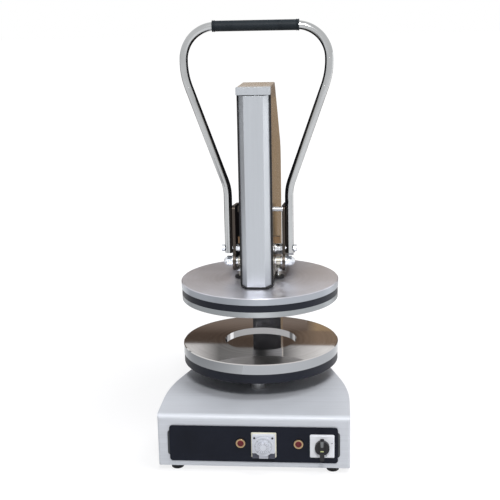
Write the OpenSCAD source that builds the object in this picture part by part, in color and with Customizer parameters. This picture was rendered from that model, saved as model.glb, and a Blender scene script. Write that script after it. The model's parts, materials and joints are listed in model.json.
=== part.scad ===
// Heated manual pizza dough press: base with controls, fixed lower plate, C-shaped column frame,
// sliding upper plate and a U-shaped lever handle. Lengths in millimetres, +Z up, front towards -Y.

/* [Base] */
// Width of the base at its front face
base_w = 370; // [340:1:420]
// Height of the sheet-metal base without its feet
base_h = 105; // [95:1:130]
// Distance from the plate axis forward to the front face of the base
base_front = 230; // [215:1:260]
// Distance from the plate axis back to the rear face of the base
base_rear = 290; // [286:1:340]
// Thickness of the base sheet
sheet_t = 2; // [1.2:0.1:3]
// Outside radius of the bend along the top front edge
bend_r = 10; // [4:1:16]
// Distance in front of the plate axis where the two side lines of the base meet
shoulder_front = 86; // [60:1:110]
// Width of the base at its rear face, between the lines of its tapered sides
rear_w = 140; // [134:1:200]
// Radius that blends the straight sides into the tapered ones
side_r = 430; // [200:10:480]
// Radius of the two front corners of the base
front_corner_r = 4; // [2.5:0.5:12]
// Radius of the two rear corners of the base
rear_corner_r = 25; // [8:1:40]
// Height of the rubber feet
foot_h = 14; // [8:1:25]
// Diameter of the rubber feet at the floor
foot_d = 24; // [16:1:32]
// Distance from the side of the base to the middle of a front foot
foot_front_side = 33; // [25:1:60]
// Distance from the side line at the rear of the base to the middle of a rear foot
foot_rear_side = 18; // [16:1:36]
// Distance from the edge of the base to the middle of a foot, front and rear
foot_edge = 24; // [22:1:40]

/* [Control panel] */
// Distance from the side of the base to the end of the dark control panel
panel_side = 23; // [20:1:30]
// Height of the dark control panel
panel_h = 72.5; // [66:0.5:78]
// Thickness of the control panel
panel_t = 2; // [1:0.5:4]
// Corner radius of the control panel
panel_r = 6; // [2:0.5:12]
// Height of the middle of the panel above the bottom of the base
panel_mid = 47.5; // [44:0.5:52]
// Distance by which the backing plate shows past each end of the panel
backing_lip = 4; // [2:0.5:12]
// Height of the backing plate behind the panel
backing_h = 51; // [46:1:66]
// Thickness of the backing plate
backing_t = 1.2; // [0.8:0.1:3]
// Distance from the right end of the panel to the middle of the left indicator lamp
lamp_left_side = 186; // [180:0.5:194]
// Distance from the right end of the panel to the middle of the right indicator lamp
lamp_right_side = 75; // [70:0.5:85]
// Outside diameter of a lamp bezel
lamp_d = 18; // [15:0.5:22]
// Diameter of a lamp lens
lens_d = 12.5; // [9:0.5:13]
// Distance from the right end of the panel to the middle of the thermostat
thermostat_side = 141.5; // [134:0.5:146]
// Width of the thermostat face plate
thermostat_w = 48; // [44:0.5:52]
// Height of the thermostat face plate
thermostat_h = 50; // [47:0.5:54]
// Width of the white face that stands out from the thermostat plate
face_w = 43.5; // [40:0.5:44]
// Height of the white thermostat face
face_h = 36; // [32:0.5:40]
// Distance by which the white face stands out
face_proud = 9; // [5:0.5:12]
// Diameter of the thermostat dial
dial_d = 39; // [30:0.5:40]
// Diameter of the grip on the thermostat dial
dial_grip_d = 22; // [16:0.5:28]
// Height of the lamps above the middle of the panel
lamp_rise = 3; // [-4:0.5:5]
// Distance of the cam switch below the middle of the panel
switch_drop = 1; // [0:0.5:5]
// Distance from the right end of the panel to the middle of the cam switch
switch_side = 30; // [26:0.5:38]
// Side of the square cam switch plate
switch_w = 46.5; // [42:0.5:50]
// Diameter of the round part of the switch knob
knob_d = 28; // [22:0.5:34]
// Length of the grip bar of the switch knob
knob_bar_l = 41; // [36:0.5:44]
// Width of the grip bar of the switch knob
knob_bar_w = 8.5; // [6:0.5:12]
// Height of the grip bar above the round part of the knob
knob_bar_h = 12; // [8:0.5:16]

/* [Lower plate] */
// Diameter of the lower plate
lower_d = 325; // [300:1:340]
// Thickness of the lower plate
lower_t = 20.5; // [16:0.5:28]
// Diameter of the round recess in the lower plate
recess_d = 150; // [100:1:180]
// Depth of the round recess
recess_depth = 7; // [4:0.5:14]
// Height of the dark pan below the lower plate
pan_h = 19.5; // [16:0.5:30]
// Height of the standoffs between the deck and the pan
standoff_h = 37.5; // [25:0.5:60]
// Diameter of the standoffs
standoff_d = 30; // [18:1:40]
// Radius of the circle on which the standoffs stand
standoff_circle_r = 80; // [60:1:110]

/* [Upper plate] */
// Diameter of the upper plate
upper_d = 326; // [300:1:340]
// Thickness of the top disc of the upper plate
top_t = 14; // [11:0.5:22]
// Height of the dark band round the upper plate
band_h = 14; // [12:0.5:24]
// Thickness of the pressing disc
press_t = 11.5; // [8:0.5:18]
// Opening between the plates when the press is open
daylight = 95; // [92:1:120]
// Travel of the upper plate
travel_l = 90; // [60:1:91]
// Rotation of the lever over the whole travel, in degrees
lever_angle = 42; // [30:1:46]

/* [Column] */
// Width of the column frame
frame_w = 64; // [60:1:64]
// Sheet thickness of the column frame
frame_wall = 3; // [2:0.5:4]
// Distance from the plate axis forward to the front wall of the frame
frame_front = 70; // [66:1:74]
// Distance from the plate axis back to the front of the post
post_front = 185; // [175:1:195]
// Depth of the post from front to rear
post_depth = 85; // [70:1:95]
// Distance from the plate axis back to the rear edge of the top
crown_rear = 72; // [60:1:90]
// Distance from the plate axis back to the start of the sloping neck
neck_rear = 168; // [150:1:180]
// Drop from the top of the head to the start of the neck
neck_drop = 75; // [50:1:110]
// Drop from the top of the head to the shoulder of the post
shoulder_drop = 158; // [145:1:190]
// Width of the front cover of the head
cover_w = 59; // [57:0.5:61]
// Height of the front cover
cover_h = 377; // [360:0.5:395]
// Depth of the front cover
cover_depth = 27; // [24:0.5:34]
// Width of the slanted sides of the cover, seen from the front
cover_bevel = 11; // [6:0.5:14]
// Depth of the slanted sides of the cover
cover_slant = 20; // [12:0.5:22]
// Width of the black edge seal at each side of the cover
seal_w = 3.5; // [2:0.5:5]
// Thickness of the cover sheet
cover_wall = 2; // [1:0.5:3]
// Dark seam between the front cover and its cap
seam = 1.5; // [0.5:0.1:3]
// Height of the cap at the top of the head
cap_h = 14; // [10:0.5:30]
// Thickness of the black gasket below the head
gasket_t = 4; // [2:0.5:8]

/* [Ram and spring] */
// Diameter of the guide ram
ram_d = 30; // [24:1:32]
// Outside diameter of the guide bushes
bush_d = 38; // [36:1:44]
// Length of each guide bush and block
bush_l = 50; // [40:1:60]
// Height of the upper guide block above the bottom of the head
upper_block_rise = 124; // [110:1:140]
// Height of the spring collar above the bottom of the head
collar_rise = 344; // [320:1:350]
// Wire diameter of the lift spring
spring_wire = 4; // [3:0.5:5]
// Mean diameter of the lift spring
spring_d = 42; // [38:0.5:44]
// Number of turns of the lift spring
spring_turns = 14; // [8:1:16]

/* [Lever and handle] */
// Height of the lever pivot above the upper plate
pivot_h = 35; // [33:0.5:42]
// Distance of the rear fulcrum behind the lever pivot
fulcrum_back = 108; // [100:1:112]
// Diameter of the fulcrum shaft
fulcrum_d = 16; // [12:0.5:18]
// Diameter of the lever pivot bolts
pivot_d = 12; // [8:0.5:14]
// Distance of the inner face of a lever plate from the middle plane
lever_in = 48; // [47:0.5:52]
// Thickness of the lever plates
lever_t = 6; // [4:0.5:8]
// Height of the lever plates above the pivot
lever_rise = 118; // [100:1:130]
// Diameter of the handle tube
tube_d = 17; // [14:0.5:20]
// Wall of the handle tube
tube_wall = 2; // [1:0.5:3]
// Distance between the pivot and the lower ends of the arms
arm_start = 18; // [16:0.5:22]
// Height of the arm bolts above the pivot
arm_bolt_rise = 28; // [27:0.5:34]
// Height above the pivot where the arms start to spread
spread_rise = 153; // [140:1:175]
// Height above the pivot where the arms stop spreading
wide_rise = 382; // [360:1:400]
// Half of the distance between the arms at their widest
wide_x = 144.5; // [130:0.5:160]
// Height of the middle of the grip above the pivot
grip_rise = 476.5; // [460:0.5:500]
// Bend radius at the foot of the spread
spread_bend_r = 90; // [50:1:120]
// Bend radius where the arms are widest
wide_bend_r = 150; // [80:1:180]
// Bend radius of the two top corners
top_bend_r = 65; // [40:1:70]
// Length of the grip sleeve
grip_l = 172; // [120:1:176]
// Outside diameter of the grip sleeve
grip_d = 21; // [20.5:0.5:26]

/* [Hidden] */

$fn = 72;
// Steps along a rounded corner of an outline
corner_steps = 10;
// Steps along the curved slot of a lever plate
slot_steps = 16;
// Length by which a cut runs past the face it opens
overrun = 1;
// Radial clearance of a running fit
run_clear = 0.05;
// Gap left between pieces that pass or face each other
face_gap = 0.3;
// Sides of a bolt head or nut
hex_sides = 6;
// Across-corners size of a hexagon over its across-flats size
hex_share = 2 / sqrt(3);

// Sizes of the control pieces
lamp_proud = 4;
lens_proud = 6;
lamp_body_d = 12;
lamp_body_l = 32;
thermostat_t = 3;
thermostat_r = 2;
thermostat_body_w = 44;
thermostat_body_l = 46;
thermostat_screw_d = 4;
thermostat_screw_proud = 0.8;
thermostat_screw_inset = 4.5;
face_top_gap = 2;
dial_drop = 2;
dial_t = 4;
dial_grip_h = 5;
dial_pointer_w = 3;
dial_shaft_d = 6;
switch_t = 4;
switch_r = 2.5;
switch_bevel = 2;
switch_body_w = 42;
switch_body_l = 52;
knob_t = 8;
knob_shaft_d = 8;
knob_round_share = 0.35;
shaft_reach = 14;

// Sizes of the rear inlet and the terminal block
gland_flange_d = 24;
gland_flange_t = 3;
gland_nose_d = 17;
gland_nose_l = 12;
gland_bore_d = 8.5;
gland_rise = 38;
terminal_w = 70;
terminal_depth = 26;
terminal_h = 22;
terminal_ways = 6;
terminal_groove_w = 6;
terminal_groove_depth = 8;

// Sizes of the plates' inner pieces
pan_wall = 3;
pan_inset = 1;
edge_bevel = 1.5;
heater_tube_d = 8;
heater_ring_rs = [62, 112];
insulation_t = 4;
socket_depth = 6;
foot_flange_d = 24;
foot_flange_t = 4;
foot_flange_clear = 1;
stud_d = 8;
stud_depth = 8;

// Sizes of the column's small pieces
crown_r = 40;
neck_r = 80;
shoulder_r = 60;
throat_r = 25;
flange_t = 8;
flange_margin = 13;
flange_side = 20;
post_bolt_d = 10;
post_bolt_flat = 17;
post_bolt_head = 6.4;
post_nut_h = 8;
stiffener_t = 6;
stiffener_margin = 4;
cap_corner_r = 3;
gasket_gap = 1;
gasket_rear = 45;
block_depth = 64;
ram_clear = 0.5;
collar_d = 52;
collar_t = 8;
ram_spigot_d = 20;
ram_nut_flat = 30;
ram_nut_h = 14;
anchor_d = 9;
anchor_front = 50;
anchor_reach = 52;
anchor_tip_d = 10.5;
anchor_tip_l = 3;
anchor_head_flat = 13;
anchor_head_h = 5.5;
stop_w = 8;
stop_h = 14;
stop_reach = 11;

// Sizes of the lever's small pieces
lever_front = 9;
lever_top_rear = 93;
lever_top_drop = 12;
lever_heel_rear = 122;
lever_heel_rise = 14;
lever_corner_r = 8;
lever_eye_r = 20;
slot_clear = 0.4;
slot_keep_share = 0.999;
slot_rim = 8;
fulcrum_washer_d = 30;
fulcrum_washer_t = 2;
fulcrum_nut_flat = 24;
fulcrum_nut_h = 10;
fulcrum_end = 3;
fulcrum_spacer_d = 24;
eye_d = 22;
eye_gap = 3;
eye_w = 9;
lock_flat = 14;
lock_h = 7;
lock_drop = 2;
pivot_flat = 19;
pivot_head_h = 11;
pivot_dome_d = 18;
pivot_dome_h = 7;
pivot_collar_d = 18;
pivot_washer_d = 26;
pivot_washer_t = 2;
clip_d = 17;
clip_t = 1.2;
pivot_tail = 0.5;
arm_seat = 0.2;
bend_overlap = 0.5;
bend_thinning = 0.1;
arm_bolt_d = 8;
arm_head_d = 14;
arm_head_h = 6;
arm_nut_flat = 14;
arm_nut_flange_d = 20;
arm_nut_flange_t = 2;
arm_nut_gap = 1;

// Levels above the floor
deck_z = foot_h + base_h;
pan_z = deck_z + standoff_h;
lower_z = pan_z + pan_h;
table_z = lower_z + lower_t;
press_z = table_z + daylight;
band_z = press_z + press_t;
top_z = band_z + band_h;
plate_z = top_z + top_t;
gasket_z = plate_z + gasket_gap;
head_z = gasket_z + gasket_t;
cap_z = head_z + cover_h + seam;
crown_z = cap_z + cap_h;
pivot_z = plate_z + pivot_h;
panel_z = foot_h + panel_mid;
lamp_z = panel_z + lamp_rise;
switch_z = panel_z - switch_drop;
face_z = panel_z + thermostat_h / 2 - face_top_gap - face_h / 2;
dial_z = face_z - dial_drop;
upper_block_z = head_z + upper_block_rise;
collar_z = head_z + collar_rise;
anchor_z = upper_block_z + bush_l / 2;

// Places along the depth, measured from the plate axis
post_rear = post_front + post_depth;
cover_y = -frame_front - cover_depth;
face_y = -base_front;
panel_y = face_y - backing_t - panel_t;
lever_ratio = lever_angle / travel_l;
plate_y = panel_y - thermostat_t;
dial_y = plate_y - face_proud - thermostat_screw_proud - face_gap;
front_reach = max(switch_t + face_gap + knob_t + knob_bar_h - panel_y,
    dial_t + dial_grip_h - dial_y);
rear_reach = base_rear + gland_flange_t + gland_nose_l;
press_y = (front_reach - rear_reach) / 2;

// Places across the width
panel_w = base_w - 2 * panel_side;
backing_w = panel_w + 2 * backing_lip;
lamp_left_x = panel_w / 2 - lamp_left_side;
lamp_right_x = panel_w / 2 - lamp_right_side;
thermostat_x = panel_w / 2 - thermostat_side;
switch_x = panel_w / 2 - switch_side;
foot_front_x = base_w / 2 - foot_front_side;
foot_rear_x = rear_w / 2 - foot_rear_side;
arm_x = lever_in + lever_t + arm_seat + tube_d / 2;
side_x = frame_w / 2;
eye_in = side_x + eye_gap;
eye_out = eye_in + eye_w;
eye_x = (eye_in + eye_out) / 2;

// Unit vector from a to b
function heading(a, b) = let (d = [b[0] - a[0], b[1] - a[1]]) d / norm(d);

// Corner of a counter-clockwise outline moved inwards by d, with its radius changed to suit
function inset_corner(a, p, b, d) =
    let (
        e = heading(a, p),
        f = heading(p, b),
        m = [-e[1] - f[1], e[0] + f[0]] * d / (1 + e * f),
        bend = e[0] * f[1] - e[1] * f[0]
    )
    [p[0] + m[0], p[1] + m[1], max(0, bend > 0 ? p[2] - d : p[2] + d)];

// Counter-clockwise outline of corners [x, y, radius] moved inwards by d
function inset_outline(corners, d) =
    let (n = len(corners))
    [for (i = [0:n - 1])
        inset_corner(corners[(i + n - 1) % n], corners[i], corners[(i + 1) % n], d)];

// Points along one rounded corner p between its neighbours a and b
function corner_points(a, p, b) =
    let (
        u = heading(p, a),
        v = heading(p, b),
        half = acos(u * v) / 2,
        reach = p[2] / tan(half),
        start = [p[0] + u[0] * reach, p[1] + u[1] * reach],
        finish = [p[0] + v[0] * reach, p[1] + v[1] * reach],
        middle = [p[0], p[1]] + (u + v) / norm(u + v) * p[2] / sin(half),
        from_angle = atan2(start[1] - middle[1], start[0] - middle[0]),
        to_angle = atan2(finish[1] - middle[1], finish[0] - middle[0]),
        sweep = ((to_angle - from_angle + 540) % 360) - 180
    )
    p[2] == 0 ? [[p[0], p[1]]] : [for (i = [0:corner_steps])
        let (t = from_angle + sweep * i / corner_steps)
        middle + p[2] * [cos(t), sin(t)]];

// Points of an outline of corners [x, y, radius]
function outline_points(corners) =
    let (n = len(corners))
    [for (i = [0:n - 1])
        each corner_points(corners[(i + n - 1) % n], corners[i], corners[(i + 1) % n])];

// Corners of the plan of the base
function plan_corners() =
    let (
        half = base_w / 2,
        rear_half = rear_w / 2
    )
    [[-half, -base_front, front_corner_r], [half, -base_front, front_corner_r],
        [half, -shoulder_front, side_r], [rear_half, base_rear, rear_corner_r],
        [-rear_half, base_rear, rear_corner_r], [-half, -shoulder_front, side_r]];

// Corners of the side view of the base, open downwards past its lower edge
function base_profile_corners(drop) =
    [[-base_front, foot_h - drop, 0], [base_rear, foot_h - drop, 0],
        [base_rear, deck_z, 0], [-base_front, deck_z, bend_r]];

// Corners of the side view of the column frame
function frame_corners() =
    let (foot_z = deck_z + flange_t)
    [[-frame_front, head_z, 0], [post_front, head_z, throat_r], [post_front, foot_z, 0],
        [post_rear, foot_z, 0], [post_rear, crown_z - shoulder_drop, shoulder_r],
        [neck_rear, crown_z - neck_drop, neck_r], [crown_rear, crown_z, crown_r],
        [-frame_front, crown_z, 0]];

// Corners of the plan of the head's front cover, widened by grow at each side and reaching back to rear
function cover_corners(grow, rear) =
    let (half = cover_w / 2 + grow)
    [[-half + cover_bevel, cover_y, cover_wall], [half - cover_bevel, cover_y, cover_wall],
        [half, cover_y + cover_slant, cover_wall], [half, rear, 0],
        [-half, rear, 0], [-half, cover_y + cover_slant, cover_wall]];

// Corners of the plan of the head's cap, reaching back to rear
function cap_corners(rear) =
    let (half = cover_w / 2 + seal_w)
    [[-half, cover_y, cap_corner_r], [half, cover_y, cap_corner_r], [half, rear, 0], [-half, rear, 0]];

// Place of the fulcrum in a lever plate once the upper plate has gone down by s
function slot_point(s) =
    let (a = lever_ratio * s)
    [fulcrum_back * cos(a) + s * sin(a), s * cos(a) - fulcrum_back * sin(a)];

// Direction of the slot's middle line at travel s
function slot_heading(s) =
    heading(slot_point(s - travel_l / slot_steps), slot_point(s + travel_l / slot_steps));

// Least distance from point q to the marked places along the slot's middle line
function slot_distance(q) =
    min([for (i = [0:slot_steps]) norm(q - slot_point(travel_l * i / slot_steps))]);

// Outline of a band of half-width r along the slot, without the points that its bends fold inwards
function slot_outline(r) =
    let (
        first = slot_heading(0),
        last = slot_heading(travel_l),
        first_angle = atan2(first[1], first[0]),
        last_angle = atan2(last[1], last[0]),
        points = concat(
            [for (i = [0:slot_steps])
                let (s = travel_l * i / slot_steps, h = slot_heading(s))
                slot_point(s) + r * [h[1], -h[0]]],
            [for (i = [1:corner_steps - 1])
                let (a = last_angle - 90 + 180 * i / corner_steps)
                slot_point(travel_l) + r * [cos(a), sin(a)]],
            [for (i = [slot_steps:-1:0])
                let (s = travel_l * i / slot_steps, h = slot_heading(s))
                slot_point(s) - r * [h[1], -h[0]]],
            [for (i = [1:corner_steps - 1])
                let (a = first_angle + 90 + 180 * i / corner_steps)
                slot_point(0) + r * [cos(a), sin(a)]])
    )
    [for (q = points) if (slot_distance(q) > r * slot_keep_share) q];

// Moves a piece from the plate axis to its place in the part's frame
module at_press() {
    translate([0, press_y, 0]) children();
}

// Copies a piece to the other side of the middle plane
module both_sides() {
    children();
    mirror([1, 0, 0]) children();
}

// Prism of a side view [y, z] with its width along X
module across(points, width) {
    rotate([90, 0, 90]) translate([0, 0, -width / 2]) linear_extrude(width) polygon(points);
}

// Prism of a front view [x, z] whose front face lies at y = front
module facing(points, front, depth) {
    translate([0, front + depth, 0]) rotate([90, 0, 0]) linear_extrude(depth) polygon(points);
}

// Cylinder along X from x = from to x = to
module bar_x(from, to, d) {
    translate([from, 0, 0]) rotate([0, 90, 0]) cylinder(h = to - from, d = d);
}

// Cylinder along Y from y = from to y = to
module bar_y(from, to, d) {
    translate([0, from, 0]) rotate([-90, 0, 0]) cylinder(h = to - from, d = d);
}

// Hexagonal prism along X from x = from to x = to
module hex_x(from, to, flat) {
    translate([from, 0, 0])
        rotate([0, 90, 0])
            cylinder(h = to - from, d = flat * hex_share, $fn = hex_sides);
}

// Dome along X that starts at x = from with diameter d and rises by h
module dome_x(from, d, h) {
    r = (d * d / 4 + h * h) / (2 * h);
    sweep = asin(d / (2 * r));
    translate([from, 0, 0])
        rotate([0, 90, 0])
            rotate_extrude()
                polygon(concat([[0, 0]],
                    [for (i = [corner_steps:-1:0])
                        let (a = sweep * i / corner_steps)
                        [r * sin(a), h - r + r * cos(a)]]));
}

// Hexagonal prism along Z from z = from to z = to
module hex_z(from, to, flat) {
    translate([0, 0, from]) cylinder(h = to - from, d = flat * hex_share, $fn = hex_sides);
}

// Ring along Z of a plate stack
module ring(from, to, outer, inner) {
    difference() {
        translate([0, 0, from]) cylinder(h = to - from, d = outer);
        translate([0, 0, from - overrun]) cylinder(h = to - from + 2 * overrun, d = inner);
    }
}

// Disc with bevelled upper or lower edges
module bevelled_disc(from, to, d, upper_bevel, lower_bevel) {
    rotate_extrude()
        polygon([[0, from], [d / 2 - lower_bevel, from], [d / 2, from + lower_bevel],
            [d / 2, to - upper_bevel], [d / 2 - upper_bevel, to], [0, to]]);
}

// Rectangle [width, height] with rounded corners about a middle point, as points
function rounded_rect(x, z, width, height, r) =
    outline_points([[x - width / 2, z - height / 2, r], [x + width / 2, z - height / 2, r],
        [x + width / 2, z + height / 2, r], [x - width / 2, z + height / 2, r]]);

// Holes through the front sheet and the panel for the controls
module control_holes(front, depth) {
    for (x = [lamp_left_x, lamp_right_x])
        translate([x, 0, lamp_z]) bar_y(front, front + depth, lamp_body_d + 2 * face_gap);
    translate([thermostat_x, 0, dial_z])
        bar_y(front, front + depth, dial_shaft_d + 2 * face_gap);
    translate([switch_x, 0, switch_z])
        bar_y(front, front + depth, knob_shaft_d + 2 * face_gap);
}

// Solid of the base between its plan and its side view, inset by d
module base_form(d, drop) {
    intersection() {
        translate([0, 0, foot_h - drop])
            linear_extrude(base_h + drop)
                polygon(outline_points(inset_outline(plan_corners(), d)));
        across(outline_points(inset_outline(base_profile_corners(drop + d), d)),
            base_w + 2 * overrun);
    }
}

// Places of the post's four bolts
module post_bolt_places() {
    for (x = [-1, 1], y = [post_front - flange_margin / 2, post_rear + flange_margin / 2])
        translate([x * (side_x + flange_side / 2), y, 0]) children();
}

// Places of the feet
module foot_places() {
    both_sides() {
        translate([foot_front_x, foot_edge - base_front, 0]) children();
        translate([foot_rear_x, base_rear - foot_edge, 0]) children();
    }
}

// Places of the lower plate's standoffs, one of them at the front
module standoff_places() {
    for (a = [-90, 30, 150])
        rotate([0, 0, a]) translate([standoff_circle_r, 0, 0]) children();
}

module base_cover() {
    color("lightsteelblue") at_press() difference() {
        base_form(0, 0);
        base_form(sheet_t, overrun);
        control_holes(face_y - overrun, sheet_t + 2 * overrun);
        post_bolt_places()
            translate([0, 0, deck_z - sheet_t - overrun])
                cylinder(h = sheet_t + 2 * overrun, d = post_bolt_d + 2 * face_gap);
        translate([0, 0, foot_h + gland_rise])
            bar_y(base_rear - sheet_t - overrun, base_rear + overrun, gland_nose_d + 2 * face_gap);
    }
}

module base_floor() {
    color("silver") at_press()
        translate([0, 0, foot_h])
            linear_extrude(sheet_t)
                polygon(outline_points(inset_outline(plan_corners(), sheet_t + face_gap)));
}

module rubber_feet() {
    color([0.08, 0.08, 0.09]) at_press() foot_places()
        rotate_extrude()
            polygon([[0, 0], [foot_d / 2 - edge_bevel, 0], [foot_d / 2, edge_bevel],
                [foot_d / 2 - edge_bevel, foot_h], [0, foot_h]]);
}

module panel_backing() {
    color([0.12, 0.12, 0.14]) at_press() difference() {
        facing(rounded_rect(0, panel_z, backing_w, backing_h, panel_r),
            face_y - backing_t, backing_t);
        control_holes(face_y - backing_t - overrun, backing_t + 2 * overrun);
    }
}

module control_panel() {
    color([0.10, 0.10, 0.14]) at_press() difference() {
        facing(rounded_rect(0, panel_z, panel_w, panel_h, panel_r), panel_y, panel_t);
        control_holes(panel_y - overrun, panel_t + 2 * overrun);
    }
}

module thermostat_plate() {
    color("ivory") at_press() difference() {
        facing(rounded_rect(thermostat_x, panel_z, thermostat_w, thermostat_h, thermostat_r),
            plate_y, thermostat_t);
        control_holes(plate_y - overrun, thermostat_t + 2 * overrun);
    }
}

module thermostat_face() {
    color("white") at_press() difference() {
        facing(rounded_rect(thermostat_x, face_z, face_w, face_h, thermostat_r),
            plate_y - face_proud, face_proud);
        control_holes(plate_y - face_proud - overrun, face_proud + 2 * overrun);
    }
}

module thermostat_screws() {
    seat = plate_y - face_proud;
    color("dimgray") at_press() for (side = [-1, 1])
        translate([thermostat_x + side * (face_w / 2 - thermostat_screw_inset), 0,
            face_z + face_h / 2 - thermostat_screw_inset])
            bar_y(seat - thermostat_screw_proud, seat, thermostat_screw_d);
}

module thermostat_dial() {
    front = dial_y - dial_t - dial_grip_h;
    color("whitesmoke") at_press() translate([thermostat_x, 0, dial_z]) {
        bar_y(dial_y - dial_t, dial_y, dial_d);
        difference() {
            bar_y(front, dial_y - dial_t, dial_grip_d);
            translate([-dial_pointer_w / 2, front - overrun, dial_grip_d / 2 - dial_pointer_w])
                cube([dial_pointer_w, dial_grip_h + overrun, dial_pointer_w + overrun]);
        }
        bar_y(dial_y, face_y + sheet_t + shaft_reach, dial_shaft_d);
    }
}

module thermostat_body() {
    color("gainsboro") at_press() difference() {
        facing(rounded_rect(thermostat_x, panel_z, thermostat_body_w, thermostat_body_w,
            thermostat_r), face_y + sheet_t, thermostat_body_l);
        translate([thermostat_x, 0, dial_z])
            bar_y(face_y, face_y + sheet_t + shaft_reach + face_gap,
                dial_shaft_d + 2 * face_gap);
    }
}

module lamp_bezels() {
    color("goldenrod") at_press() for (x = [lamp_left_x, lamp_right_x])
        translate([x, 0, lamp_z]) difference() {
            bar_y(panel_y - lamp_proud, panel_y, lamp_d);
            bar_y(panel_y - lamp_proud - overrun, panel_y + overrun, lens_d + 2 * run_clear);
        }
}

module lamp_lenses() {
    color("firebrick") at_press() for (x = [lamp_left_x, lamp_right_x])
        translate([x, panel_y, lamp_z])
            rotate([90, 0, 0])
                rotate_extrude()
                    polygon([[0, 0], [lens_d / 2, 0], [lens_d / 2, lamp_proud],
                        [lens_d / 2 - edge_bevel, lens_proud], [0, lens_proud]]);
}

module lamp_bodies() {
    color("dimgray") at_press() for (x = [lamp_left_x, lamp_right_x])
        translate([x, 0, lamp_z])
            bar_y(panel_y, face_y + lamp_body_l, lamp_body_d);
}

module switch_plate() {
    front = panel_y - switch_t;
    color("white") at_press() difference() {
        union() {
            facing(rounded_rect(switch_x, switch_z, switch_w, switch_w, switch_r),
                front + switch_bevel, switch_t - switch_bevel);
            facing(rounded_rect(switch_x, switch_z, switch_w - 2 * switch_bevel,
                switch_w - 2 * switch_bevel, switch_r), front, switch_bevel);
        }
        control_holes(front - overrun, switch_t + 2 * overrun);
    }
}

module switch_knob() {
    back = panel_y - switch_t - face_gap;
    color([0.07, 0.07, 0.08]) at_press() {
        translate([switch_x, 0, switch_z]) {
            bar_y(back - knob_t, back, knob_d);
            bar_y(back, face_y + sheet_t + shaft_reach, knob_shaft_d);
        }
        facing(rounded_rect(switch_x, switch_z, knob_bar_w, knob_bar_l, knob_bar_w * knob_round_share),
            back - knob_t - knob_bar_h, knob_bar_h);
    }
}

module switch_body() {
    color("darkslategray") at_press() difference() {
        facing(rounded_rect(switch_x, switch_z, switch_body_w, switch_body_w, switch_r),
            face_y + sheet_t, switch_body_l);
        translate([switch_x, 0, switch_z])
            bar_y(face_y, face_y + sheet_t + shaft_reach + face_gap, knob_shaft_d + 2 * face_gap);
    }
}

module cable_gland() {
    inner = base_rear - sheet_t - gland_flange_t;
    color([0.08, 0.08, 0.09]) at_press() translate([0, 0, foot_h + gland_rise]) difference() {
        union() {
            bar_y(base_rear, base_rear + gland_flange_t, gland_flange_d);
            bar_y(inner, base_rear + gland_flange_t + gland_nose_l, gland_nose_d);
            bar_y(inner, base_rear - sheet_t, gland_flange_d);
        }
        bar_y(inner - overrun, base_rear + gland_flange_t + gland_nose_l + overrun, gland_bore_d);
    }
}

module terminal_block() {
    pitch = terminal_w / terminal_ways;
    color("beige") at_press() translate([0, post_front / 2, foot_h + sheet_t]) difference() {
        translate([-terminal_w / 2, -terminal_depth / 2, 0])
            cube([terminal_w, terminal_depth, terminal_h]);
        for (i = [0:terminal_ways - 1])
            translate([(i + 1 / 2) * pitch - terminal_w / 2 - terminal_groove_w / 2,
                -terminal_depth / 2 - overrun, terminal_h - terminal_groove_depth])
                cube([terminal_groove_w, terminal_depth + 2 * overrun,
                    terminal_groove_depth + overrun]);
    }
}

module lower_standoffs() {
    color("silver") at_press() standoff_places()
        translate([0, 0, deck_z]) cylinder(h = standoff_h, d = standoff_d);
}

module lower_pan() {
    outer = lower_d - 2 * pan_inset;
    color([0.13, 0.14, 0.18]) at_press() difference() {
        bevelled_disc(pan_z, lower_z, outer, 0, edge_bevel);
        translate([0, 0, pan_z + pan_wall])
            cylinder(h = pan_h, d = outer - 2 * pan_wall);
    }
}

module lower_insulation() {
    color("lightyellow") at_press()
        translate([0, 0, pan_z + pan_wall])
            cylinder(h = insulation_t, d = lower_d - 2 * pan_inset - 2 * pan_wall - 2 * face_gap);
}

module lower_heater() {
    color("gray") at_press() translate([0, 0, lower_z - heater_tube_d / 2 - face_gap])
        for (r = heater_ring_rs)
            rotate_extrude() translate([r, 0]) circle(d = heater_tube_d);
}

module lower_platen() {
    color("silver") at_press() difference() {
        bevelled_disc(lower_z, table_z, lower_d, edge_bevel, 0);
        translate([0, 0, table_z - recess_depth])
            cylinder(h = recess_depth + overrun, d = recess_d);
    }
}

module column_frame() {
    color([0.55, 0.46, 0.36]) at_press() difference() {
        union() {
            across(outline_points(frame_corners()), frame_w);
            translate([-side_x - flange_side, post_front - flange_margin, deck_z])
                cube([frame_w + 2 * flange_side, post_depth + 2 * flange_margin, flange_t]);
        }
        across(outline_points(inset_outline(frame_corners(), frame_wall)),
            frame_w - 2 * frame_wall);
        translate([0, 0, head_z - overrun])
            cylinder(h = frame_wall + 2 * overrun, d = ram_d + 2 * ram_clear);
        translate([0, fulcrum_back, pivot_z])
            bar_x(-side_x - overrun, side_x + overrun, fulcrum_d + 2 * run_clear);
        translate([0, -anchor_front, anchor_z])
            bar_x(-side_x - overrun, side_x + overrun, anchor_d + 2 * run_clear);
        post_bolt_places()
            translate([0, 0, deck_z - overrun])
                cylinder(h = flange_t + 2 * overrun, d = post_bolt_d + 2 * face_gap);
    }
}

module post_bolts() {
    nut_z = deck_z - sheet_t - stiffener_t - post_nut_h;
    color("gainsboro") at_press() post_bolt_places() {
        translate([0, 0, nut_z])
            cylinder(h = deck_z + flange_t - nut_z, d = post_bolt_d);
        hex_z(deck_z + flange_t, deck_z + flange_t + post_bolt_head, post_bolt_flat);
        hex_z(nut_z, nut_z + post_nut_h, post_bolt_flat);
    }
}

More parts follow.
